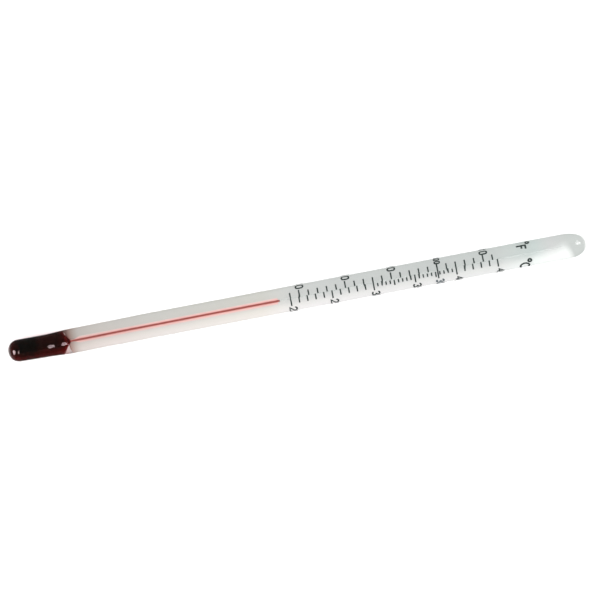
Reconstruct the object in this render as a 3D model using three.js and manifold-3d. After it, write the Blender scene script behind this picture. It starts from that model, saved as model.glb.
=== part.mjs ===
// A solid-stem spirit thermometer for home brewing, lying on its back with the scale facing up.
// Units are millimetres and +Z is up. The stem's axis runs along X, from the bulb at -X to the
// sealed tip at +X. The origin is the middle of the length, on the flat that the glass lies on.
import * as THREE from 'three';
import { mergeVertices } from 'three/addons/utils/BufferGeometryUtils.js';
import Module from 'manifold-3d';

// ---- Driving dimensions ---------------------------------------------------------------------
// Places along the stem are distances from the bulb's tip.

const LENGTH = 150;
const STEM_DIAMETER = 6.55;
const SIDES = 32; // flats round the glass; one of them lies exactly underneath
const BORE_DIAMETER = 0.36;
const BORE_SIDES = 12;
const BORE_END = 143.6;

const BULB_NOSE_DIAMETER = 5.56;
const BULB_DIAMETER = 5.84; // at the shoulder, to which the bulb widens from its nose
const BULB_WALL = 0.45;
const BULB_NOSE_WALL = 1.2;
const BULB_NOSE_POWER = 2.1; // 2 would be a half ball; more is squarer
const SHOULDER_START = 9; // where the bulb starts to swell to the stem's diameter
const SHOULDER_END = 16.3;
const BULB_LENGTH = 16.4; // to the face where it is fused to the stem
const CONE_START = 13.4; // where the cavity starts to narrow
const NECK = 16.2; // where it has narrowed to the bore

const TIP_DOME_LENGTH = 5.6;
const TIP_DOME_POWER = 2.5;

const ENAMEL_WIDTH = 4.5;
const ENAMEL_THICKNESS = 0.45;
const ENAMEL_RIM = 0.1; // thickness at the ribbon's thin edges
const ENAMEL_DEPTH = 0.75; // from the bore's axis down to the ribbon's front face
const ENAMEL_END = 145.2;

const READING_C = 18.7; // the temperature shown at rest
const MENISCUS_LENGTH = 0.5;
const MENISCUS_DIP = 0.08; // how far the liquid's surface sinks in the middle

const JOIN_GAP = 0.05; // between pieces that are fused together or hold each other
const LIQUID_GAP = 0.02; // between the spirit and the glass round it

const LINE_WIDTH = 0.37;
const INK_THICKNESS = 0.04;
const INK_LIFT = 0.012; // from the stem's corners to the underside of the print

// The scale is linear from its 20 degree line.
const SCALE_START_C = 20;
const SCALE_END_C = 45;
const SCALE_START = 73.35;
const MM_PER_C = 2.14;
const FINE_FROM_C = 30; // between these two the half degrees are marked as well
const FINE_TO_C = 40;
const SCALE_START_F = 68;
const SCALE_END_F = 112;
const STEP_F = 2;
const BODY_HEAT_F = 100;
const JOINED_WITHIN_C = 0.15; // lines of the two scales nearer than this are printed as one

// How far the lines reach round the stem, in degrees from straight up. The Fahrenheit scale is
// on the negative side and the Celsius scale on the positive side.
const F_INNER = -0.9;
const F_OUTER = -26.2;
const F_TEN = -33.3;
const C_INNER = -1.6;
const C_OUTER = 24.8;
const C_FINE_INNER = 3.5;
const C_FINE_OUTER = 19;
const C_FINE_MIDDLE = 27.7;
const C_FIVE = 34.3;
const BODY_HEAT_OUTER = [-37.3, 36.2];
const ARC_STEP = 6; // the longest straight piece of a curved line
const BEND = 2; // over which a joined line shifts from one scale's place to the other's

const COLOURS = { glass: 0xdfe8e4, spirit: 0x7a0f16, enamel: 0xf3f3f0, ink: 0x1d2b29 };

// ---- Worked out from them -------------------------------------------------------------------

const stemRadius = STEM_DIAMETER / 2;
const noseRadius = BULB_NOSE_DIAMETER / 2;
const bulbRadius = BULB_DIAMETER / 2;
const boreRadius = BORE_DIAMETER / 2;
const threadRadius = boreRadius - LIQUID_GAP;
const axisHeight = stemRadius * Math.cos(Math.PI / SIDES); // a flat touches the ground

const atCelsius = (celsius) => SCALE_START + (celsius - SCALE_START_C) * MM_PER_C;
const toCelsius = (fahrenheit) => (fahrenheit - 32) / 1.8;

// ---- Shapes ---------------------------------------------------------------------------------

// A solid turned about the stem's axis. Each point of the profile is [distance from the bulb's
// tip, radius]. It runs up the outside towards the stem's tip, or down the inside.
function turned(profile, sides = SIDES) {
  const points = profile.map(([along, radius]) => new THREE.Vector2(radius, along));
  const geometry = new THREE.LatheGeometry(points, sides, Math.PI / sides);
  geometry.rotateZ(-Math.PI / 2); // the lathe's axis becomes +X
  geometry.translate(-LENGTH / 2, 0, axisHeight);
  return geometry;
}

// A flat section pushed along the stem. Its x runs across the stem and its y up from the axis.
function pushed(section, start, end) {
  const options = { depth: end - start, bevelEnabled: false, curveSegments: 6 };
  const geometry = new THREE.ExtrudeGeometry(section, options);
  geometry.rotateX(Math.PI / 2);
  geometry.rotateZ(Math.PI / 2); // the depth becomes +X
  geometry.translate(start - LENGTH / 2, 0, axisHeight);
  return geometry;
}

// Profile points of a rounded end, from its widest ring to its pole.
function roundedEnd(start, length, radius, power, steps) {
  const points = [];
  for (let i = 0; i < steps; i += 1) {
    const angle = (i / steps) * (Math.PI / 2);
    const along = Math.sin(angle) ** (2 / power);
    const out = Math.cos(angle) ** (2 / power);
    points.push([start + along * length, out * radius]);
  }
  points.push([start + length, 0]);
  return points;
}

// Profile points of a smooth S from one radius to another.
function taper(start, end, radiusA, radiusB, steps) {
  const points = [];
  for (let i = 0; i <= steps; i += 1) {
    const part = i / steps;
    const ease = part * part * (3 - 2 * part);
    points.push([start + (end - start) * part, radiusA + (radiusB - radiusA) * ease]);
  }
  return points;
}

const wasm = await Module();
wasm.setup();

function toSolid(geometry) {
  const plain = geometry.clone();
  plain.deleteAttribute('normal');
  plain.deleteAttribute('uv');
  const merged = mergeVertices(plain);
  return new wasm.Manifold(new wasm.Mesh({
    numProp: 3,
    vertProperties: new Float32Array(merged.attributes.position.array),
    triVerts: new Uint32Array(merged.index.array),
  }));
}

function cut(geometry, tool) {
  const mesh = toSolid(geometry).subtract(toSolid(tool)).getMesh();
  const result = new THREE.BufferGeometry();
  result.setAttribute('position', new THREE.BufferAttribute(mesh.vertProperties, 3));
  result.setIndex(new THREE.BufferAttribute(mesh.triVerts, 1));
  result.computeVertexNormals();
  return result;
}

// ---- The thermometer ------------------------------------------------------------------------

const materials = {
  glass: new THREE.MeshStandardMaterial({ color: COLOURS.glass, roughness: 0.06 }),
  spirit: new THREE.MeshStandardMaterial({ color: COLOURS.spirit, roughness: 0.15 }),
  enamel: new THREE.MeshStandardMaterial({ color: COLOURS.enamel, roughness: 0.5 }),
  ink: new THREE.MeshStandardMaterial({ color: COLOURS.ink, roughness: 0.6 }),
};

const thermometer = new THREE.Group();

function add(name, geometry, material) {
  const mesh = new THREE.Mesh(geometry, material);
  mesh.name = name;
  thermometer.add(mesh);
}

// The bulb's cavity, from its nose to the bore. The spirit in it is the same shape, drawn in by
// a margin.
function cavity(margin, neckRadius) {
  const wide = bulbRadius - BULB_WALL - margin;
  const narrow = noseRadius - BULB_WALL - margin;
  const tip = BULB_NOSE_WALL + margin;
  const nose = roundedEnd(0, narrow, narrow, 2, 7).reverse();
  return [
    ...nose.map(([along, out]) => [tip + narrow - along, out]),
    ...taper(CONE_START - margin, NECK - margin, wide, neckRadius, 6),
  ];
}

// A thin tube with a round nose and a shoulder that meets the stem. It is open at the bore.
function makeBulb() {
  const nose = roundedEnd(0, noseRadius, noseRadius, BULB_NOSE_POWER, 9).reverse();
  return turned([
    ...nose.map(([along, out]) => [noseRadius - along, out]),
    ...taper(SHOULDER_START, SHOULDER_END, bulbRadius, stemRadius, 7),
    [BULB_LENGTH, stemRadius],
    [BULB_LENGTH, boreRadius],
    ...cavity(0, boreRadius).reverse(),
  ]);
}

// The white ribbon behind the bore: flat in front, and thinner towards its edges.
function makeEnamel(start, end, margin) {
  const half = ENAMEL_WIDTH / 2 + margin;
  const front = margin - ENAMEL_DEPTH;
  const rim = front - ENAMEL_RIM - 2 * margin;
  const back = front - 2 * ENAMEL_THICKNESS; // the curve's handle: it dips half way to it
  const section = new THREE.Shape();
  section.moveTo(-half, front);
  section.lineTo(-half, rim);
  section.quadraticCurveTo(0, back, half, rim);
  section.lineTo(half, front);
  section.closePath();
  return pushed(section, start, end);
}

// A solid rod with a fine bore, a domed tip and a slot for the enamel. Bore and slot both run
// out through the face that is fused to the bulb.
function makeStem() {
  const start = BULB_LENGTH + JOIN_GAP;
  const rod = turned([
    [BORE_END + boreRadius, 0],
    [BORE_END, boreRadius],
    [start, boreRadius],
    [start, stemRadius],
    ...roundedEnd(LENGTH - TIP_DOME_LENGTH, TIP_DOME_LENGTH, stemRadius, TIP_DOME_POWER, 10),
  ]);
  return cut(rod, makeEnamel(start - 1, ENAMEL_END + JOIN_GAP, JOIN_GAP));
}

add('bulb_glass', makeBulb(), materials.glass);
add('stem_glass', makeStem(), materials.glass);
add('enamel_backing', makeEnamel(BULB_LENGTH + 2 * JOIN_GAP, ENAMEL_END, 0), materials.enamel);

// ---- The spirit -----------------------------------------------------------------------------

const threadStart = NECK + LIQUID_GAP;
const meniscusTop = atCelsius(READING_C);
const meniscusFoot = meniscusTop - MENISCUS_LENGTH;

add('spirit_reservoir', turned([...cavity(LIQUID_GAP, threadRadius), [NECK, 0]]), materials.spirit);

add('spirit_thread', turned([
  [threadStart, 0],
  [threadStart, threadRadius],
  [meniscusFoot - LIQUID_GAP, threadRadius],
  [meniscusFoot - LIQUID_GAP, 0],
], BORE_SIDES), materials.spirit);

add('spirit_meniscus', turned([
  [meniscusFoot, 0],
  [meniscusFoot, threadRadius],
  [meniscusTop, threadRadius],
  [meniscusTop - MENISCUS_DIP, 0],
], BORE_SIDES), materials.spirit);

// ---- The printed scale ----------------------------------------------------------------------

// Angles from one to another, evenly spread, both ends included.
function spread(from, to) {
  const steps = Math.max(1, Math.ceil(Math.abs(to - from) / ARC_STEP));
  return Array.from({ length: steps + 1 }, (_, i) => from + ((to - from) * i) / steps);
}

// One printed line: a thin bar bent round the stem. The part on the Fahrenheit side lies at one
// temperature and the part on the Celsius side at another, which may be the same.
function makeLine(from, to, celsiusAtFrom, celsiusAtTo = celsiusAtFrom) {
  const bend = (F_INNER + C_INNER) / 2;
  const angles = celsiusAtFrom === celsiusAtTo
    ? spread(from, to)
    : [...spread(from, bend - BEND / 2), ...spread(bend + BEND / 2, to)];
  const inner = stemRadius + INK_LIFT;
  const ring = (radius) => angles.map((angle) => {
    const turn = THREE.MathUtils.degToRad(angle);
    return new THREE.Vector2(-Math.sin(turn) * radius, Math.cos(turn) * radius);
  });
  const section = new THREE.Shape([...ring(inner), ...ring(inner + INK_THICKNESS).reverse()]);
  const middle = atCelsius(celsiusAtFrom);
  const geometry = pushed(section, middle - LINE_WIDTH / 2, middle + LINE_WIDTH / 2);
  const shift = atCelsius(celsiusAtTo) - middle;
  const { position } = geometry.attributes;
  for (let i = 0; i < position.count; i += 1) {
    const angle = Math.atan2(-position.getY(i), position.getZ(i) - axisHeight);
    const crossed = THREE.MathUtils.radToDeg(angle) > bend;
    position.setX(i, position.getX(i) + (crossed ? shift : 0));
  }
  return geometry;
}

// How far a Celsius line reaches round the stem: [inner end, outer end].
function celsiusReach(celsius) {
  if (celsius % 5 === 0) return [C_INNER, C_FIVE];
  const fine = celsius > FINE_FROM_C && celsius < FINE_TO_C;
  if (!fine) return [C_INNER, C_OUTER];
  return [C_FINE_INNER, celsius % 2.5 === 0 ? C_FINE_MIDDLE : C_FINE_OUTER];
}

const lineName = (value) => String(value).replace('.', '_');

function addScale() {
  const celsiusLines = [];
  for (let c = SCALE_START_C; c <= SCALE_END_C; c += c >= FINE_FROM_C && c < FINE_TO_C ? 0.5 : 1) {
    celsiusLines.push(c);
  }
  const joined = new Set();
  for (let f = SCALE_START_F; f <= SCALE_END_F; f += STEP_F) {
    const own = toCelsius(f);
    const outer = f % 10 === 0 ? F_TEN : F_OUTER;
    const twin = celsiusLines.find((c) => Math.abs(c - own) < JOINED_WITHIN_C);
    if (f === BODY_HEAT_F) {
      add(`line_${f}f_body_heat`, makeLine(...BODY_HEAT_OUTER, own), materials.ink);
    } else if (twin === undefined) {
      add(`line_${f}f`, makeLine(outer, F_INNER, own), materials.ink);
    } else {
      // The two scales' lines nearly meet here, so they are one line, straight or bent.
      joined.add(twin);
      const name = `line_${f}f_${lineName(twin)}c`;
      const same = Math.abs(twin - own) < 1e-9;
      const geometry = makeLine(outer, celsiusReach(twin)[1], same ? twin : own, twin);
      add(name, geometry, materials.ink);
    }
  }
  for (const c of celsiusLines.filter((value) => !joined.has(value))) {
    add(`line_${lineName(c)}c`, makeLine(...celsiusReach(c), c), materials.ink);
  }
}

addScale();

export default thermometer;
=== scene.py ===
"""The looks of a solid-stem spirit thermometer that lies on its back, bulb to the left."""
import math

import bpy
from mathutils import Matrix, Vector, noise


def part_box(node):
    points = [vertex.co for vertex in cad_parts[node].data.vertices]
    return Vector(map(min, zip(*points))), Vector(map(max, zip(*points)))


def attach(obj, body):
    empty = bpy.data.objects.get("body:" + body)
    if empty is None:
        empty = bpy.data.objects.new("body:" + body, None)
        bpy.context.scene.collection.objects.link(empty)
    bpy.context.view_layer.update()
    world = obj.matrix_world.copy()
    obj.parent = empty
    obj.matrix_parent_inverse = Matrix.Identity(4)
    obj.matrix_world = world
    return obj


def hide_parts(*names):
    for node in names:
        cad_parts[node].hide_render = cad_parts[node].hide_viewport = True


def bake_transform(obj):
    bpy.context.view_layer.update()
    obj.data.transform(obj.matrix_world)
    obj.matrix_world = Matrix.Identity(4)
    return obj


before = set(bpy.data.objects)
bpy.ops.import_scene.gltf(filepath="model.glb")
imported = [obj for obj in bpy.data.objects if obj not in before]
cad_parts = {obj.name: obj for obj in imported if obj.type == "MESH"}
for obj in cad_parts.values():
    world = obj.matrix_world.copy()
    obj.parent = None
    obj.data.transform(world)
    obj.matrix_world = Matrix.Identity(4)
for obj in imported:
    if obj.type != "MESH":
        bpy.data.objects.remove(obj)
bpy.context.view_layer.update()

MM = 0.001

# ---- Sizes, worked out from the frame -------------------------------------------------------

STEM_LOW, STEM_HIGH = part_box("stem_glass")
SIDES_OF_CAD_STEM = 32  # one of them faces straight up
TIP_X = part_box("bulb_glass")[0].x
LENGTH = STEM_HIGH.x - TIP_X
AXIS_Z = (STEM_LOW.z + STEM_HIGH.z) / 2
STEM_R = (STEM_HIGH.z - STEM_LOW.z) / 2 / math.cos(math.pi / SIDES_OF_CAD_STEM)
THREAD_LOW, THREAD_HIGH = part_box("spirit_thread")
MENISCUS_LOW, MENISCUS_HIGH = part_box("spirit_meniscus")
THREAD_R = (THREAD_HIGH.y - THREAD_LOW.y) / 2

# Places along the stem are distances from the bulb's tip.
BULB_NOSE_R = 2.82 * MM
BULB_R = 2.92 * MM
NOSE_POWER = 2.1  # 2 is an ellipse, and more is squarer
SHOULDER = (9.3 * MM, 17.2 * MM)  # where the bulb widens into the stem
SLIM = 0.06 * MM  # how much thinner the stem is beside the bulb
SLIM_END = (24 * MM, 36 * MM)
# How far the glass strays from a straight axis near the bulb, in mm along it and aside.
BEND = [(0, 0.0), (10.5, -0.14), (15.5, -0.14), (26, -0.07), (38, 0.0)]
UNEVEN, UNEVEN_LENGTH = 0.012 * MM, 7 * MM  # of the stem's radius
DOME_LENGTH = 5.6 * MM
DOME_POWER = 2.35
DOME_DROOP = 0.13 * MM
DROOP_START, DROOP_END = 1.4 * DOME_LENGTH, 0.2 * DOME_LENGTH  # before the tip
NECK = 16.2 * MM  # where the bore leaves the bulb
BORE_R = 0.09 * MM
BORE_END = 143.6 * MM
# How far the bore strays from the straight axis near the bulb, in mm along it and aside.
BORE_STRAY = [(17, -0.15), (32, -0.05), (55, 0.0)]
COLUMN_R = 0.19 * MM  # wider than the bore, so that it hides the stretch of bore that it fills
COLUMN_ASIDE = -0.12 * MM  # of the column's lower end: it is straight, so it only nears the bore
MENISCUS_DIP = 0.07 * MM
GLOW_HALF = 0.52 * MM  # half the width of the painted red light beside the thread
GLOW_RISE = 40 * MM  # the painted glow is dimmer over this length near the bulb

GLASS_SIDES = 96
SPIRIT_SIDES = 64
BORE_SIDES = 20

STEM_BODY = "thermometer"
SPIRIT_BODY = "spirit_column"

# ---- Mesh helpers ---------------------------------------------------------------------------


def smooth_step(x):
    x = min(1.0, max(0.0, x))
    return x * x * (3 - 2 * x)


def mix(a, b, share):
    return a + (b - a) * share


def along_profile(profile, along):
    """A value at a place, from (place, value) pairs in mm."""
    place = along / MM
    if place <= profile[0][0]:
        return profile[0][1] * MM
    for (a, value_a), (b, value_b) in zip(profile, profile[1:]):
        if place <= b:
            return mix(value_a, value_b, smooth_step((place - a) / (b - a))) * MM
    return profile[-1][1] * MM


def new_piece(name, verts, faces, material, smooth=True):
    """A mesh object with one material."""
    mesh = bpy.data.meshes.new(name)
    mesh.from_pydata([tuple(v) for v in verts], [], faces)
    mesh.validate()
    mesh.update()
    if smooth:
        mesh.polygons.foreach_set("use_smooth", [True] * len(mesh.polygons))
    mesh.materials.append(material)
    obj = bpy.data.objects.new(name, mesh)
    bpy.context.scene.collection.objects.link(obj)
    return obj


def turned(rings, sides, first=0):
    """Vertices and faces of a closed body turned about the stem's axis.

    Each ring is (distance from the bulb's tip, radius, y). The first and last rings are single
    points. Rings that go towards +X face outwards, and the others inwards. first is the number
    of vertices that the mesh already has."""
    verts, faces, starts = [], [], []
    for along, radius, y in rings:
        starts.append(first + len(verts))
        centre = Vector((TIP_X + along, y, AXIS_Z))
        if radius <= 0:
            verts.append(centre)
            continue
        for i in range(sides):
            a = 2 * math.pi * i / sides
            verts.append(centre + Vector((0, math.cos(a) * radius, math.sin(a) * radius)))
    for k in range(len(rings) - 1):
        here, there = starts[k], starts[k + 1]
        for i in range(sides):
            j = (i + 1) % sides
            if rings[k][1] <= 0:
                faces.append((here, there + j, there + i))
            elif rings[k + 1][1] <= 0:
                faces.append((here + i, here + j, there))
            else:
                faces.append((here + i, here + j, there + j, there + i))
    return verts, faces


def rounded_end(length, power, steps):
    """(distance before the pole, share of the radius) from a rounded end's widest ring to its pole."""
    points = []
    for i in range(steps):
        a = math.pi / 2 * i / steps
        points.append((length * (1 - math.sin(a) ** (2 / power)), math.cos(a) ** (2 / power)))
    points.append((0.0, 0.0))
    return points


def evenly(start, end, step):
    """Places from start to end, as nearly a step apart as fits."""
    count = max(1, round((end - start) / step))
    return [mix(start, end, i / count) for i in range(count + 1)]


# ---- Materials ------------------------------------------------------------------------------


# A Mix node of colours: its sockets are told apart by number, because their names repeat.
MIX_SHARE, MIX_A, MIX_B, MIX_RESULT = 0, 6, 7, 2


def seen_in_mirrors(tree):
    """1 for rays that a polished surface mirrors, and 0 for the rest."""
    path = tree.nodes.new("ShaderNodeLightPath")
    mirrored = tree.nodes.new("ShaderNodeMath")
    mirrored.operation = "SUBTRACT"
    mirrored.use_clamp = True
    tree.links.new(path.outputs["Is Reflection Ray"], mirrored.inputs[0])
    tree.links.new(path.outputs["Is Diffuse Ray"], mirrored.inputs[1])
    return mirrored.outputs[0]


def grey(level):
    return (level, level, level)


class Nodes:
    """A material's node tree, with short calls for the nodes used here."""

    def __init__(self, name):
        self.material = bpy.data.materials.new(name)
        self.material.use_nodes = True
        self.tree = self.material.node_tree
        self.shader = self.tree.nodes["Principled BSDF"]
        self.out = self.tree.nodes["Material Output"]

    def add(self, kind, **settings):
        node = self.tree.nodes.new(kind)
        for key, value in settings.items():
            setattr(node, key, value)
        return node

    def link(self, a, b):
        self.tree.links.new(a, b)

    def set(self, **values):
        """Sets the main shader's inputs."""
        for key, value in values.items():
            self.shader.inputs[key.replace("_", " ")].default_value = value

    def where(self):
        """Object coordinates, which are the frame's."""
        return self.add("ShaderNodeTexCoord").outputs["Object"]

    def x_and_y(self):
        split = self.add("ShaderNodeSeparateXYZ")
        self.link(self.where(), split.inputs[0])
        return split.outputs["X"], split.outputs["Y"]

    def noise(self, scale, detail=3.0):
        """Noise with a number of waves per metre along each axis."""
        mapping = self.add("ShaderNodeMapping")
        mapping.inputs["Scale"].default_value = scale
        self.link(self.where(), mapping.inputs["Vector"])
        tex = self.add("ShaderNodeTexNoise")
        tex.inputs["Scale"].default_value = 1.0
        tex.inputs["Detail"].default_value = detail
        self.link(mapping.outputs["Vector"], tex.inputs["Vector"])
        return tex.outputs["Fac"]

    def ramp(self, source, stops):
        node = self.add("ShaderNodeValToRGB")
        elements = node.color_ramp.elements
        for i, (where, colour) in enumerate(stops):
            element = elements[i] if i < 2 else elements.new(where)
            element.position = where
            element.color = (*colour, 1)
        self.link(source, node.inputs["Fac"])
        return node.outputs["Color"]

    def spread_over(self, source, start, end):
        """0 at one value and 1 at the other, held there beyond them."""
        node = self.add("ShaderNodeMapRange")
        node.inputs["From Min"].default_value = start
        node.inputs["From Max"].default_value = end
        self.link(source, node.inputs["Value"])
        return node.outputs["Result"]

    def ramp_in_mm(self, source, stops, start=0.0, step=MM):
        """A ramp over a length. Its stops are in mm from the start, and a negative step turns them."""
        first, last = stops[0][0], stops[-1][0]
        share = self.spread_over(source, start + first * step, start + last * step)
        return self.ramp(share, [((at - first) / (last - first), colour) for at, colour in stops])

    def project(self, onto):
        """The dot product of the place and a direction."""
        node = self.add("ShaderNodeVectorMath", operation="DOT_PRODUCT")
        self.link(self.where(), node.inputs[0])
        node.inputs[1].default_value = onto
        return node.outputs["Value"]

    def size_of(self, source):
        """A value without its sign."""
        node = self.add("ShaderNodeMath", operation="ABSOLUTE")
        self.link(source, node.inputs[0])
        return node.outputs[0]

    def times(self, a, b):
        node = self.add("ShaderNodeMath", operation="MULTIPLY")
        self.link(a, node.inputs[0])
        self.link(b, node.inputs[1])
        return node.outputs[0]

    def blend(self, share, a, b):
        """One colour where the share is 0 and the other where it is 1."""
        node = self.add("ShaderNodeMix", data_type="RGBA")
        self.link(share, node.inputs[MIX_SHARE])
        self.link(a, node.inputs[MIX_A])
        self.link(b, node.inputs[MIX_B])
        return node.outputs[MIX_RESULT]

    def multiply(self, a, b):
        """Two colours, the one tinted by the other."""
        node = self.add("ShaderNodeMix", data_type="RGBA", blend_type="MULTIPLY")
        node.inputs[MIX_SHARE].default_value = 1.0
        self.link(a, node.inputs[MIX_A])
        self.link(b, node.inputs[MIX_B])
        return node.outputs[MIX_RESULT]

    def bump(self, source, strength, distance):
        node = self.add("ShaderNodeBump")
        node.inputs["Strength"].default_value = strength
        node.inputs["Distance"].default_value = distance
        self.link(source, node.inputs["Height"])
        self.link(node.outputs["Normal"], self.shader.inputs["Normal"])

    def let_light_through(self, tint):
        """Lamps and the light scattered inside reach what lies behind this surface."""
        path = self.add("ShaderNodeLightPath")
        either = self.add("ShaderNodeMath", operation="MAXIMUM")
        self.link(path.outputs["Is Shadow Ray"], either.inputs[0])
        self.link(path.outputs["Is Diffuse Ray"], either.inputs[1])
        clear = self.add("ShaderNodeBsdfTransparent")
        clear.inputs["Color"].default_value = (*tint, 1)
        both = self.add("ShaderNodeMixShader")
        self.link(either.outputs[0], both.inputs[0])
        self.link(self.shader.outputs[0], both.inputs[1])
        self.link(clear.outputs[0], both.inputs[2])
        self.link(both.outputs[0], self.out.inputs["Surface"])


def glass_material():
    """Clear drawn glass with the faintest green and fine lengthwise drawing lines."""
    m = Nodes("drawn_glass")
    m.set(Roughness=0.01, IOR=1.47, Transmission_Weight=1.0)
    streaks = m.ramp(m.noise((20, 900, 900)), [(0.3, (0.95, 0.975, 0.965)), (0.7, (0.965, 0.985, 0.975))])
    m.link(streaks, m.shader.inputs["Base Color"])
    m.bump(m.noise((40, 500, 500), detail=1.0), 0.03, 0.01 * MM)
    m.let_light_through((0.98, 0.99, 0.985))
    return m.material


# Colours of the enamel by distance from the bulb's tip, in mm, mostly painted light and shade. It has a
# painted brown shadow of the spirit that fades over the next centimetres, then painted warm light beside
# the red thread, and is cooler past its end.
ENAMEL_ALONG = [
    (14.0, (0.10, 0.06, 0.05)), (15.3, (0.22, 0.14, 0.12)), (16.1, (0.47, 0.31, 0.27)),
    (17.2, (0.63, 0.54, 0.49)), (18.4, (0.78, 0.72, 0.68)), (24.0, (0.87, 0.81, 0.77)),
    (38.0, (0.91, 0.88, 0.84)), (66.0, (0.96, 0.94, 0.88)), (73.0, (1.0, 1.0, 0.98)),
    (82.0, (0.98, 0.99, 0.98)), (128.0, (0.93, 0.965, 0.95)), (137.0, (0.91, 1.0, 0.975)),
    (141.0, (1.0, 1.0, 1.0)), (145.5, (0.94, 0.97, 0.95)),
]
# Its colours across the stem, painted shade and light, by distance from the axis towards the Celsius
# side, in mm: grey on the Fahrenheit half with a lighter painted rim, brighter towards the Celsius side.
ENAMEL_SHADE_ACROSS = [
    (-2.1, grey(0.63)), (-1.85, grey(0.50)), (0.0, grey(0.50)), (0.3, (0.555, 0.55, 0.55)),
    (0.7, (0.61, 0.59, 0.595)), (1.05, (0.67, 0.645, 0.645)), (1.75, (0.74, 0.70, 0.715)),
    (2.1, (0.77, 0.73, 0.745)),
]
# The line past which the enamel thins out and is painted light, nearly as pale as the floor: (distance
# from the bulb's tip, y) of its ends, in mm.
MELT_START, MELT_END = (130.0, 2.1), (144.0, 0.15)
MELT_SOFT = 1.0 * MM  # to either side of that line
DOME_FROM, DOME_TO = 144.35 * MM, 145.95 * MM  # where the enamel's painted shade fades out in the dome
DOME_SLANT = 0.4  # how much sooner it fades towards the Fahrenheit side


def enamel_material():
    """Opaque white enamel, with painted shade and light: grey on the Fahrenheit side, brighter towards
    the Celsius side, and pale past the melt line near the tip.
    """
    m = Nodes("white_enamel")
    m.set(Roughness=0.5)
    x, y = m.x_and_y()
    # Painted light and shade along the stem.
    along = m.ramp_in_mm(x, ENAMEL_ALONG, start=TIP_X)
    before_dome = m.spread_over(m.project((1, DOME_SLANT, 0)), TIP_X + DOME_TO, TIP_X + DOME_FROM)
    # Painted shade across the stem, faded out in the dome.
    across = m.ramp_in_mm(m.times(y, before_dome), ENAMEL_SHADE_ACROSS, step=-MM)
    streaks = m.ramp(m.noise((12, 1200, 1200), detail=4.0), [(0.3, grey(0.965)), (0.7, grey(1.0))])
    opaque = m.multiply(m.multiply(along, across), streaks)

    slope = (MELT_START[1] - MELT_END[1]) / (MELT_END[0] - MELT_START[0])
    edge = slope * (TIP_X + MELT_END[0] * MM) + MELT_END[1] * MM
    # Past the melt line the enamel thins out and is painted light.
    thin = m.spread_over(m.project((slope, -1, 0)), edge - MELT_SOFT, edge + MELT_SOFT)
    bright = m.ramp(m.noise((300, 300, 300)), [(0.3, (0.77, 0.78, 0.77)), (0.7, (0.80, 0.81, 0.80))])
    colour = m.blend(m.times(thin, before_dome), opaque, bright)
    m.link(colour, m.shader.inputs["Base Color"])
    m.bump(m.noise((80, 900, 900)), 0.15, 0.02 * MM)
    return m.material


# Colours of the spirit in the bulb by distance from the bulb's tip, in mm: where it is deep, greenish
# from 3 to 8 mm as a painted reflection, and near the wall on the Celsius side, painted redder for the
# light that comes through there.
SPIRIT_DEEP = [
    (1.0, (0.30, 0.20, 0.22)), (3.0, (0.04, 0.16, 0.14)), (7.0, (0.04, 0.16, 0.14)),
    (8.6, (0.25, 0.25, 0.25)), (13.0, (0.20, 0.28, 0.26)), (14.2, (0.27, 0.30, 0.28)),
    (16.0, (0.45, 0.40, 0.38)),
]
SPIRIT_THIN_AND_LIT = [(1.0, (1.0, 0.55, 0.66)), (13.0, (1.0, 0.55, 0.62)), (14.5, (0.70, 0.45, 0.45))]
THIN_LIT_FROM, THIN_LIT_TO = -0.6 * MM, -1.15 * MM  # the y between which the one gives way to the other


def reservoir_material():
    """Deep red spirit: nearly black through the middle with a painted greenish reflection, and redder
    near the cone and, as painted light, where it is thin on the Celsius side."""
    m = Nodes("red_spirit")
    m.set(Roughness=0.02, IOR=1.05, Transmission_Weight=1.0)
    x, y = m.x_and_y()
    deep = m.ramp_in_mm(x, SPIRIT_DEEP, start=TIP_X)
    thin = m.ramp_in_mm(x, SPIRIT_THIN_AND_LIT, start=TIP_X)
    # Painted light: the Celsius side is redder than the other.
    tint = m.blend(m.spread_over(y, THIN_LIT_FROM, THIN_LIT_TO), deep, thin)
    cloud = m.ramp(m.noise((90, 300, 300)), [(0.35, grey(0.85)), (0.65, grey(1.0))])
    m.link(m.multiply(tint, cloud), m.shader.inputs["Base Color"])
    dye = m.add("ShaderNodeVolumeAbsorption")
    dye.inputs["Color"].default_value = (0.89, 0.05, 0.10, 1)
    dye.inputs["Density"].default_value = 3200
    m.link(dye.outputs[0], m.out.inputs["Volume"])
    m.let_light_through((0.85, 0.04, 0.06))
    return m.material


# Colours of the thread and of its painted glow by distance from the bore's axis, in shares of GLOW_HALF.
THREAD_ACROSS = [
    (0.0, (0.26, 0.042, 0.037)), (0.26, (0.37, 0.085, 0.07)), (0.42, (0.75, 0.40, 0.38)),
    (0.70, (0.74, 0.46, 0.43)), (1.0, (0.62, 0.53, 0.50)),
]


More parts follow.
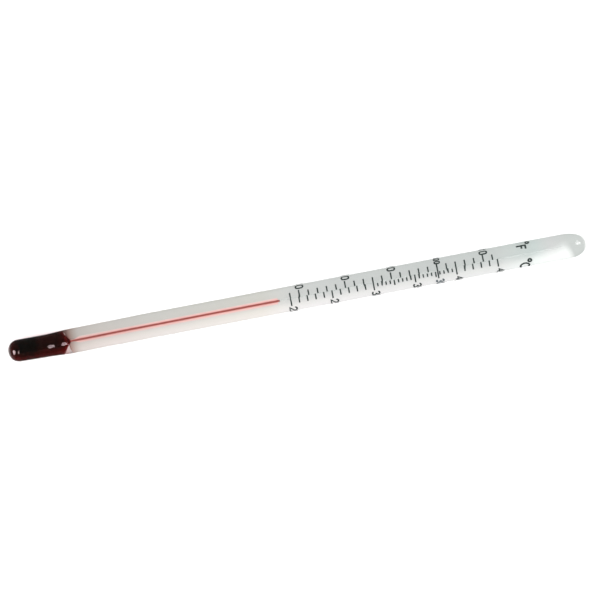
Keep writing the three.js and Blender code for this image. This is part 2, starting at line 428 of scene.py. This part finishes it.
def thread_material():
    """The spirit in the bore, bright red where it is thin, and a painted pink glow beside it for the
    light it throws.
    """
    m = Nodes("red_spirit_thread")
    m.set(Roughness=0.3)
    x, y = m.x_and_y()
    furthest = BORE_STRAY[0][1]
    stray = m.ramp_in_mm(x, [(at, grey(aside / furthest)) for at, aside in BORE_STRAY], start=TIP_X)
    from_bore = m.add("ShaderNodeMath", operation="MULTIPLY_ADD")
    m.link(stray, from_bore.inputs[0])
    from_bore.inputs[1].default_value = -furthest * MM
    m.link(y, from_bore.inputs[2])
    # Painted glow: pink beside the thread for the red light it throws, dimmer near the bulb.
    across = m.ramp(m.spread_over(m.size_of(from_bore.outputs[0]), 0.0, GLOW_HALF), THREAD_ACROSS)
    rise = m.spread_over(x, THREAD_LOW.x, THREAD_LOW.x + GLOW_RISE)
    rise = m.ramp(rise, [(0.0, grey(0.86)), (1.0, grey(1.0))])
    cloud = m.ramp(m.noise((150, 800, 800)), [(0.3, grey(0.92)), (0.7, grey(1.0))])
    m.link(m.multiply(m.multiply(across, rise), cloud), m.shader.inputs["Base Color"])
    m.let_light_through((0.97, 0.9, 0.9))
    return m.material


def ink_material(name, dark, light):
    """Fired ink, a little uneven, and thin enough for light to reach the enamel through it."""
    m = Nodes(name)
    m.set(Roughness=0.5)
    colour = m.ramp(m.noise((700, 700, 700), detail=5.0), [(0.35, dark), (0.7, light)])
    m.link(colour, m.shader.inputs["Base Color"])
    m.bump(m.noise((2500, 2500, 2500)), 0.3, 0.01 * MM)
    m.let_light_through(grey(0.75))
    return m.material


GLASS = glass_material()
ENAMEL = enamel_material()
RESERVOIR = reservoir_material()
THREAD = thread_material()
INK = ink_material("fired_ink", (0.012, 0.022, 0.02), (0.035, 0.05, 0.046))
PALE_INK = ink_material("pale_fired_ink", (0.05, 0.07, 0.08), (0.10, 0.13, 0.15))

# ---- The glass ------------------------------------------------------------------------------


def stem_ring(along):
    """(radius, y) of the glass at a distance from the bulb's tip, leaving out its rounded ends."""
    bulb = mix(BULB_NOSE_R, BULB_R, min(1.0, along / SHOULDER[0]))
    swell = smooth_step((along - SHOULDER[0]) / (SHOULDER[1] - SHOULDER[0]))
    slim = SLIM * (1 - smooth_step((along - SLIM_END[0]) / (SLIM_END[1] - SLIM_END[0])))
    uneven = UNEVEN * noise.noise(Vector((along / UNEVEN_LENGTH, 3.1, 0)))
    droop = DOME_DROOP * smooth_step((along - LENGTH + DROOP_START) / (DROOP_START - DROOP_END))
    return mix(bulb, STEM_R - slim, swell) + uneven * swell, along_profile(BEND, along) - droop


def glass_rings():
    """The outside of the bulb and stem, which are one piece of glass."""
    rings = []
    for along, share in reversed(rounded_end(BULB_NOSE_R, NOSE_POWER, 22)):
        radius, y = stem_ring(along)
        rings.append((along, radius * share, y))
    straight = evenly(BULB_NOSE_R, SHOULDER[1], 0.35 * MM)[1:]
    straight += evenly(SHOULDER[1], LENGTH - DOME_LENGTH, 1.5 * MM)[1:]
    rings += [(along, *stem_ring(along)) for along in straight]
    for back, share in rounded_end(DOME_LENGTH, DOME_POWER, 26)[1:]:
        radius, y = stem_ring(LENGTH - back)
        rings.append((LENGTH - back, radius * share, y))
    return rings


def bore_rings():
    """The empty bore, walked towards the bulb so that it faces inwards."""
    rings = [(BORE_END, 0, 0), (BORE_END - BORE_R, BORE_R, 0)]
    for along in reversed(evenly(NECK, BORE_END - 2 * BORE_R, 2 * MM)):
        rings.append((along, BORE_R, along_profile(BORE_STRAY, along)))
    return rings + [(NECK - 0.01 * MM, 0, along_profile(BORE_STRAY, NECK))]


def make_glass():
    verts, faces = turned(glass_rings(), GLASS_SIDES)
    inner, inner_faces = turned(bore_rings(), BORE_SIDES, first=len(verts))
    glass = new_piece("glass_envelope", verts + inner, faces + inner_faces, GLASS)
    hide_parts("bulb_glass", "stem_glass")
    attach(glass, STEM_BODY)


# ---- The enamel -----------------------------------------------------------------------------

ENAMEL_LOW, ENAMEL_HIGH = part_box("enamel_backing")
ENAMEL_HALF = (ENAMEL_HIGH.y - ENAMEL_LOW.y) / 2
ENAMEL_START = 14.0 * MM
FINE_TO, FINE_FROM = 17.5 * MM, 136 * MM  # its sections are closer together outside these
ENAMEL_END = 149.15 * MM
ENAMEL_COLUMNS = 16
EDGE_THINNER = 0.05 * MM  # how far the ribbon's front falls back at its edges
EDGE_DEPTH, MIDDLE_DEPTH = 0.3, 0.95  # of the ribbon's back, as shares of its depth in the CAD
RAGGED, RAGGED_LENGTH = 0.04 * MM, 2.5 * MM  # of its edges
GLASS_ROUND_ENAMEL = 0.45 * MM  # the least thickness of glass beside it
GLASS_PAST_ENAMEL = 0.5 * MM  # between the tip and where the ribbon's outline would close
# How far each edge of the ribbon lies from the axis, by distance from the bulb's tip, in mm. The
# Fahrenheit edge starts first and the Celsius edge crosses over behind the spirit's cone.
CELSIUS_EDGE = [(14.0, -1.95), (15.1, -1.2), (15.5, 0.2), (15.9, 1.4), (16.2, 2.12), (140, 2.12)]
FAHRENHEIT_EDGE = [(14.0, 2.0), (14.8, 2.1), (147, 2.12)]
FOLLOW_START, FOLLOW_LENGTH = 140 * MM, 6 * MM  # where the ribbon starts to follow the drooping dome


def ribbon_edges(along):
    """y of the ribbon's two edges: (Celsius side, Fahrenheit side)."""
    back = max(0.0, LENGTH - GLASS_PAST_ENAMEL - along) / DOME_LENGTH
    round_end = (1 - max(0.0, 1 - back) ** DOME_POWER) ** (1 / DOME_POWER)
    room = (STEM_R - GLASS_ROUND_ENAMEL) * round_end
    ragged = RAGGED * noise.noise(Vector((along / RAGGED_LENGTH, 5.0, 0)))
    droop = stem_ring(along)[1] * smooth_step((along - FOLLOW_START) / FOLLOW_LENGTH)
    low = -along_profile(CELSIUS_EDGE, along) - ragged
    high = along_profile(FAHRENHEIT_EDGE, along) + ragged
    return max(low, -room) + droop, min(high, room) + droop


def ribbon_section(along):
    """The points of the ribbon's cross-section: its front from edge to edge, then its back."""
    low, high = ribbon_edges(along)
    front, back = [], []
    for i in range(ENAMEL_COLUMNS + 1):
        y = mix(low, high, i / ENAMEL_COLUMNS)
        swell = 1 - min(1.0, abs(y) / ENAMEL_HALF) ** 2
        front.append((TIP_X + along, y, ENAMEL_HIGH.z - EDGE_THINNER * (1 - swell)))
        depth = mix(EDGE_DEPTH, MIDDLE_DEPTH, swell)
        back.append((TIP_X + along, y, mix(ENAMEL_HIGH.z, ENAMEL_LOW.z, depth)))
    return front + back


def make_enamel():
    """A ribbon with a nearly flat front and a rounded back, rounded at the bulb and at the tip."""
    places = evenly(ENAMEL_START, FINE_TO, 0.12 * MM)
    places += evenly(FINE_TO, FINE_FROM, 1.2 * MM)[1:] + evenly(FINE_FROM, ENAMEL_END, 0.2 * MM)[1:]
    verts = [point for along in places for point in ribbon_section(along)]
    faces = []
    to_back = ENAMEL_COLUMNS + 1
    row = 2 * to_back
    last = (len(places) - 1) * row
    for here in range(0, last, row):
        there = here + row
        for i in range(ENAMEL_COLUMNS):
            a, b = here + i, there + i
            c, d = a + to_back, b + to_back
            faces += [(a, b, b + 1, a + 1), (c, c + 1, d + 1, d)]
        a, b = here + ENAMEL_COLUMNS, there + ENAMEL_COLUMNS
        faces += [(here, here + to_back, there + to_back, there), (b, b + to_back, a + to_back, a)]
    for i in range(ENAMEL_COLUMNS):
        a, b = i, last + i
        faces += [(a, a + 1, a + to_back + 1, a + to_back), (b + to_back, b + to_back + 1, b + 1, b)]
    ribbon = new_piece("enamel_ribbon", verts, faces, ENAMEL)
    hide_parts("enamel_backing")
    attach(ribbon, STEM_BODY)


# ---- The spirit -----------------------------------------------------------------------------

NOSE_WALL = 1.1 * MM  # thickness of the bulb's glass at its tip
SIDE_WALL = 0.44 * MM
# The cone that narrows to the bore: (distance from the bulb's tip, share of the radius, y), in mm.
CONE = [(12.9, 1.0, -0.15), (13.4, 0.96, -0.10), (13.8, 0.91, -0.04), (14.2, 0.82, 0.0),
        (14.6, 0.70, -0.06), (15.0, 0.50, -0.10), (15.5, 0.28, -0.11), (15.9, 0.14, -0.13)]
# The painted glow's strip: how far past the thread's start it begins, with what share of its width, and
# where it has its full width; how high its top lies over the enamel, and how thick it is.
GLOW_START, GLOW_START_SHARE, GLOW_FULL = 0.7 * MM, 0.15, 2.6 * MM
GLOW_HEIGHT, GLOW_THICKNESS = 0.04 * MM, 0.02 * MM


def make_reservoir():
    """The spirit in the bulb: a rounded end, a body that widens a little, and the cone."""
    wide = BULB_R - SIDE_WALL
    narrow = BULB_NOSE_R - SIDE_WALL
    full, cone = NOSE_WALL + narrow, CONE[0][0] * MM
    rings = []
    for along, share in reversed(rounded_end(narrow, 2.0, 16)):
        rings.append((NOSE_WALL + along, narrow * share, stem_ring(NOSE_WALL + along)[1]))
    for along in evenly(full, cone, 0.6 * MM)[1:-1]:
        rings.append((along, mix(narrow, wide, (along - full) / (cone - full)), stem_ring(along)[1]))
    rings += [(along * MM, mix(THREAD_R, wide, share), y * MM) for along, share, y in CONE]
    aside = along_profile(BORE_STRAY, NECK)
    rings += [(NECK + 0.1 * MM, THREAD_R * 1.1, aside), (NECK + 0.2 * MM, 0, aside)]
    verts, faces = turned(rings, SPIRIT_SIDES)
    spirit = new_piece("spirit_in_bulb", verts, faces, RESERVOIR)
    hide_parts("spirit_reservoir")
    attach(spirit, STEM_BODY)


def glow_strip(start, end, first):
    """A thin strip over the enamel, with the red light that the column throws painted on it. Its one
    section between the ends is near the neck, where the blend moves it least."""
    top = ENAMEL_HIGH.z + GLOW_HEIGHT
    under = top - GLOW_THICKNESS
    verts, faces = [], []
    for along, share in ((start + GLOW_START, GLOW_START_SHARE), (start + GLOW_FULL, 1.0), (end, 1.0)):
        aside = mix(COLUMN_ASIDE, 0, (along - start) / (end - start))
        low, high = aside - GLOW_HALF * share, aside + GLOW_HALF * share
        for y, z in ((high, top), (low, top), (low, under), (high, under)):
            verts.append(Vector((TIP_X + along, y, z)))
    last = first + len(verts) - 4
    for k in range(first, last, 4):
        faces += [(k + i, k + 4 + i, k + 4 + (i + 1) % 4, k + (i + 1) % 4) for i in range(4)]
    faces += [tuple(first + i for i in range(4)), tuple(last + 3 - i for i in range(4))]
    return verts, faces


def make_thread():
    """A column whose lower end stays at the neck and whose upper end follows the meniscus. It has
    rings at its ends only, because a blend moves what lies between by uneven shares."""
    start, end = NECK - 0.1 * MM, MENISCUS_LOW.x - TIP_X
    verts, faces = turned([(start, 0, COLUMN_ASIDE), (start, COLUMN_R, COLUMN_ASIDE),
                           (end, COLUMN_R, 0), (end, 0, 0)], BORE_SIDES)
    # The strip carries the painted glow.
    strip, strip_faces = glow_strip(start, end, first=len(verts))
    thread = new_piece("spirit_thread_in_bore", verts + strip, faces + strip_faces, THREAD, smooth=False)
    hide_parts("spirit_thread")
    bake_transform(thread)


def make_meniscus():
    """The column's last stretch, with a hollow top."""
    low, top = MENISCUS_LOW.x - TIP_X - 0.02 * MM, MENISCUS_HIGH.x - TIP_X
    rings = [(low, 0, 0), (low, COLUMN_R, 0), (top, COLUMN_R, 0)]
    rings += [(top - MENISCUS_DIP * (1 - s * s), COLUMN_R * s, 0) for s in (0.8, 0.5, 0.25)]
    rings += [(top - MENISCUS_DIP, 0, 0)]
    verts, faces = turned(rings, BORE_SIDES)
    meniscus = new_piece("spirit_meniscus_top", verts, faces, THREAD)
    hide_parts("spirit_meniscus")
    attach(meniscus, SPIRIT_BODY)


# ---- The printed scale ----------------------------------------------------------------------

PRINT_IN = STEM_R + 0.004 * MM
PRINT_OUT = STEM_R + 0.04 * MM
DIGIT_HEIGHT = 1.9 * MM
DIGIT_SHIFT = 0.3 * MM  # past its line, towards the tip
STROKE = 0.42 * MM
BOLD_STROKE = 0.48 * MM
FINE_STROKE = 0.36 * MM
SCALE_START_C = 20
SCALE_START = 73.35 * MM
LENGTH_PER_C = 2.14 * MM
BODY_HEAT_F = 100
# (angle of the edge, width, gap) of the digits. Celsius numbers start at the edge and Fahrenheit
# numbers end at it, so that the rest of each goes round its own side of the stem.
CELSIUS_DIGITS = (40.4, 1.7 * MM, 0.4 * MM)
FAHRENHEIT_DIGITS = {2: (-40.4, 1.35 * MM, 1.0 * MM), 3: (-35.3, 1.15 * MM, 0.45 * MM)}
BODY_HEAT_F_DIGITS = (-31.8, 0.82 * MM, 0.35 * MM)
BODY_HEAT_C_DIGITS = (41.8, 1.3 * MM, 0.3 * MM)
BODY_HEAT_F_HEIGHT = 1.37 * MM
BODY_HEAT_F_SHIFT = 0.2 * MM


def arc(cx, cy, rx, ry, start, end, steps=14):
    """Points of an ellipse's arc, in degrees from +x, anticlockwise where end is more than start."""
    return [(cx + rx * math.cos(math.radians(mix(start, end, i / steps))),
             cy + ry * math.sin(math.radians(mix(start, end, i / steps)))) for i in range(steps + 1)]


def squared(cx, cy, rx, ry, power=3.2, steps=32):
    """Points of a closed loop between an ellipse and a rectangle."""
    points = []
    for i in range(steps):
        x, y = math.cos(2 * math.pi * i / steps), math.sin(2 * math.pi * i / steps)
        points.append((cx + rx * math.copysign(abs(x) ** (2 / power), x),
                       cy + ry * math.copysign(abs(y) ** (2 / power), y)))
    return points + points[:1]


# Strokes in a box one wide and one high. A stroke that ends where it starts is a closed loop.
GLYPHS = {
    "0": [squared(0.5, 0.5, 0.42, 0.48)],
    "1": [[(0.2, 0.74), (0.52, 0.98), (0.52, 0.02)]],
    "2": [arc(0.5, 0.7, 0.38, 0.28, 165, -30) + [(0.1, 0.03), (0.92, 0.03)]],
    "3": [arc(0.46, 0.74, 0.36, 0.24, 150, -80) + arc(0.46, 0.27, 0.40, 0.26, 80, -150)],
    "4": [[(0.78, 0.14), (0.78, 0.98), (0.28, 0.4), (1.0, 0.4)]],
    "5": [[(0.86, 0.97), (0.22, 0.97), (0.16, 0.52)] + arc(0.46, 0.32, 0.42, 0.31, 120, -150)],
    "7": [[(0.08, 0.97), (0.92, 0.97), (0.4, 0.0)]],
    "8": [arc(0.5, 0.75, 0.33, 0.23, -90, 270, 24), arc(0.5, 0.26, 0.4, 0.26, 90, 450, 24)],
    "9": [arc(0.5, 0.68, 0.38, 0.29, 0, 360, 24), arc(0.3, 0.68, 0.58, 0.66, 0, -75)],
    "F": [[(0.12, 0.0), (0.12, 0.97), (0.9, 0.97)], [(0.12, 0.52), (0.76, 0.52)]],
    "C": [arc(0.54, 0.5, 0.44, 0.48, 48, 312, 22)],
    "o": [arc(0.5, 0.5, 0.5, 0.5, 0, 360, 20)],
}


def on_stem(along, angle, radius):
    """A point at an angle round the stem from straight up, positive towards the Celsius side."""
    a = math.radians(angle)
    return Vector((TIP_X + along, -math.sin(a) * radius, AXIS_Z + math.cos(a) * radius))


CAP_REACH = 0.3  # of the stroke's width, from the rim out to its cap
CAP_NARROWER = 0.2  # of the rim, on each side
SHARPEST = 0.6  # limits how far a stroke's outer corner reaches


def cap(rim, out, width):
    """A narrower pair of points, a little way out from a rim."""
    left, right = rim
    return (left + out * width * CAP_REACH + (right - left) * CAP_NARROWER,
            right + out * width * CAP_REACH + (left - right) * CAP_NARROWER)


def stroke_mesh(points, width, verts, faces):
    """Adds one pen stroke as a thin solid strip. Points are (round the stem, along it)."""
    closed = (Vector(points[0]) - Vector(points[-1])).length < 1e-6
    path = [Vector(p) for p in (points[:-1] if closed else points)]
    count = len(path)
    rims = []
    for i, p in enumerate(path):
        before = path[i - 1] if closed or i else p
        after = path[(i + 1) % count] if closed or i < count - 1 else p
        ahead, behind = after - p, p - before
        one = ahead.normalized() if ahead.length else behind.normalized()
        two = behind.normalized() if behind.length else one
        normal = Vector((-(one + two).y, (one + two).x)).normalized()
        stretch = 1 / max(SHARPEST, normal.dot(Vector((-one.y, one.x))))
        rims.append((p + normal * width / 2 * stretch, p - normal * width / 2 * stretch))
    if not closed:
        # The near end is rounded. The far cap hangs on the last rim but one, so the strip folds back
        # to it, and most strokes end square.
        near = cap(rims[0], (path[0] - path[1]).normalized(), width)
        far = cap(rims[-2], (path[-1] - path[-2]).normalized(), width)
        rims = [near] + rims + [far]
    base = len(verts)
    for left, right in rims:
        for u, v in (left, right):
            for radius in (PRINT_IN, PRINT_OUT):
                verts.append(on_stem(v, math.degrees(u / STEM_R), radius))
    pairs = len(rims) if closed else len(rims) - 1
    for k in range(pairs):
        a = base + 4 * k
        b = base + 4 * ((k + 1) % len(rims))
        faces += [(a + 1, b + 1, b + 3, a + 3), (a, a + 2, b + 2, b),
                  (a, b, b + 1, a + 1), (a + 2, a + 3, b + 3, b + 2)]
    if not closed:
        a, b = base, base + 4 * (len(rims) - 1)
        faces += [(a, a + 1, a + 3, a + 2), (b, b + 2, b + 3, b + 1)]


def print_text(name, text, along, height, digits, from_right=False, stroke=STROKE, ink=INK):
    """Text read with the bulb down. digits is (edge, width, gap). The edge is the angle from
    straight up to the text's left end, or to its right end where from_right is set."""
    edge, width, gap = digits
    left = math.radians(edge) * STEM_R
    if from_right:
        left -= len(text) * width + (len(text) - 1) * gap
    verts, faces = [], []
    for i, letter in enumerate(text):
        origin = left + i * (width + gap)
        for line in GLYPHS[letter]:
            points = [(origin + x * width, along - height / 2 + y * height) for x, y in line]
            stroke_mesh(points, stroke, verts, faces)
    piece = new_piece(name, verts, faces, ink, smooth=False)
    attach(piece, STEM_BODY)


def place_of(celsius):
    """Distance from the bulb's tip to a temperature's line."""
    return SCALE_START + (celsius - SCALE_START_C) * LENGTH_PER_C


def to_celsius(fahrenheit):
    return (fahrenheit - 32) / 1.8


def print_numbers():
    for fahrenheit in (70, 80, 90, 100, 110):
        text, line = str(fahrenheit), place_of(to_celsius(fahrenheit))
        if fahrenheit == BODY_HEAT_F:
            print_text("number_100f", text, line + BODY_HEAT_F_SHIFT, BODY_HEAT_F_HEIGHT,
                       BODY_HEAT_F_DIGITS, from_right=True, stroke=FINE_STROKE)
        else:
            print_text(f"number_{text}f", text, line + DIGIT_SHIFT, DIGIT_HEIGHT,
                       FAHRENHEIT_DIGITS[len(text)], from_right=True)
    for celsius in (20, 25, 30, 35, 40, 45):
        print_text(f"number_{celsius}c", str(celsius), place_of(celsius) + DIGIT_SHIFT,
                   DIGIT_HEIGHT, CELSIUS_DIGITS)
    print_text("number_38c_body_heat", "38", place_of(to_celsius(BODY_HEAT_F)) + DIGIT_SHIFT,
               DIGIT_HEIGHT, BODY_HEAT_C_DIGITS, ink=PALE_INK)


def print_letters():
    """The unit letters, each with its degree ring."""
    for name, text, along, height, edge, width in (
            ("letter_f", "F", 133.4, 2.3, -21.0, 1.39),
            ("letter_f_degree", "o", 135.1, 0.8, -51.0, 0.8),
            ("letter_c", "C", 133.6, 2.4, 39.5, 2.3),
            ("letter_c_degree", "o", 134.95, 0.8, 25.4, 0.8)):
        print_text(name, text, along * MM, height * MM, (edge, width * MM, 0.0),
                   from_right=name.startswith("letter_f"), stroke=BOLD_STROKE)


def ink_lines():
    """Gives the CAD's lines, which are carried over as they are, the look of the print."""
    for name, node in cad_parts.items():
        if name.startswith("line_"):
            node.data.materials.clear()
            node.data.materials.append(INK)


make_glass()
make_enamel()
make_reservoir()
make_thread()
make_meniscus()
print_numbers()
print_letters()
ink_lines()

# ---- Floor, light and camera ----------------------------------------------------------------

# Mirrors show pale paper as far as the first distance from the object, and dark from the second.
PALE_STRIP = (5.0 * MM, 6.0 * MM)
FLOOR_HALF = 3.0
FLOOR_Z = -0.03 * MM


def make_floor():
    m = Nodes("pale_floor")
    m.set(Roughness=0.9)
    aside = m.size_of(m.x_and_y()[1])
    dimmed = m.times(seen_in_mirrors(m.tree), m.spread_over(aside, *PALE_STRIP))
    pale = m.ramp(m.noise((40, 40, 40), detail=6.0), [(0.3, grey(0.93)), (0.7, grey(0.95))])
    dim = m.ramp(m.noise((30, 30, 30)), [(0.3, (0.07, 0.09, 0.08)), (0.7, (0.09, 0.11, 0.10))])
    m.link(m.blend(dimmed, pale, dim), m.shader.inputs["Base Color"])
    corners = [(FLOOR_HALF * x, FLOOR_HALF * y, FLOOR_Z) for x, y in ((-1, -1), (1, -1), (1, 1), (-1, 1))]
    floor = new_piece("floor", corners, [(0, 1, 2, 3)], m.material, smooth=False)


def make_world():
    """White paper all round that mirrors do not show, as if the room in front were dark."""
    world = bpy.data.worlds.new("studio")
    bpy.context.scene.world = world
    world.use_nodes = True
    nodes, links = world.node_tree.nodes, world.node_tree.links
    shade = nodes.new("ShaderNodeMix")
    shade.data_type = "RGBA"
    shade.inputs[MIX_A].default_value = (0.62, 0.62, 0.62, 1)
    shade.inputs[MIX_B].default_value = (0.11, 0.15, 0.13, 1)
    links.new(seen_in_mirrors(world.node_tree), shade.inputs[MIX_SHARE])
    links.new(shade.outputs[MIX_RESULT], nodes["Background"].inputs["Color"])


def softbox(name, target, towards, distance, size, power, shape="RECTANGLE"):
    """A flat lamp in a direction from a target, facing it, with its width along the stem."""
    data = bpy.data.lights.new(name, "AREA")
    data.shape = shape
    data.size, data.size_y = size
    data.energy = power
    lamp = bpy.data.objects.new(name, data)
    direction = Vector(towards).normalized()
    height = direction.cross(Vector((1, 0, 0))).normalized()
    axes = Matrix((height.cross(direction), height, direction)).transposed()
    lamp.matrix_world = Matrix.Translation(Vector(target) + direction * distance) @ axes.to_4x4()
    bpy.context.scene.collection.objects.link(lamp)
    return lamp


BULB_MIDDLE, TIP = (TIP_X + 11 * MM, 0, 0), (TIP_X + LENGTH, 0, 0)
# Lamps that show only as highlights: (name, target, direction, size, power, shape, colour).
PINK, WHITE = (1.0, 0.83, 0.87), (1, 1, 1)
CATCHLIGHTS = [
    ("catchlight_bulb", BULB_MIDDLE, (-0.171, -0.29, 1), (0.023, 0.31), 0.18, "RECTANGLE", PINK),
    ("catchlight_nose", BULB_MIDDLE, (-1.22, -0.27, 1), (0.34, 0.48), 5.0, "ELLIPSE", PINK),
    ("catchlight_tip", TIP, (1.13, 0.33, 1), (0.20, 0.29), 1.1, "ELLIPSE", WHITE),
    ("catchlight_tip_soft", TIP, (1.13, 0.33, 1), (0.32, 0.46), 1.5, "ELLIPSE", WHITE),
]
CATCHLIGHT_DISTANCE = 0.6


def make_lamps():
    key = softbox("key_overhead", (0, 0, 0), (0, -0.12, 1), 1.5, (0.8, 0.8), 20.0)
    key.visible_glossy = False
    key.visible_transmission = False
    for name, target, towards, size, power, shape, colour in CATCHLIGHTS:
        lamp = softbox(name, target, towards, CATCHLIGHT_DISTANCE, size, power, shape)
        lamp.data.color = colour
        lamp.visible_diffuse = False
        lamp.visible_transmission = False


IMAGE_WIDTH = 153.13 * MM  # what the picture's width covers at the object
TILT_IN_IMAGE = 10.781  # how far the stem rises to the right, in degrees
AIM_RIGHT, AIM_UP = 0.79 * MM, -0.65 * MM  # the picture's middle, from the object's middle
LENS = 180
SENSOR = 36


def make_camera():
    """Straight above, and turned so that the stem rises to the right."""
    data = bpy.data.cameras.new("camera")
    data.lens = LENS
    data.sensor_width = SENSOR
    data.clip_start, data.clip_end = 0.01, 20
    camera = bpy.data.objects.new("camera", data)
    bpy.context.scene.collection.objects.link(camera)
    turn = math.radians(TILT_IN_IMAGE)
    right = Vector((math.cos(turn), -math.sin(turn), 0))
    up = Vector((math.sin(turn), math.cos(turn), 0))
    distance = Vector((0, 0, IMAGE_WIDTH * LENS / SENSOR))
    camera.location = Vector((0, 0, AXIS_Z)) + right * AIM_RIGHT + up * AIM_UP + distance
    camera.rotation_euler = (0, 0, -turn)
    bpy.context.scene.camera = camera


make_floor()
make_world()
make_lamps()
make_camera()
bpy.context.scene.view_settings.view_transform = "Standard"

bpy.context.view_layer.update()
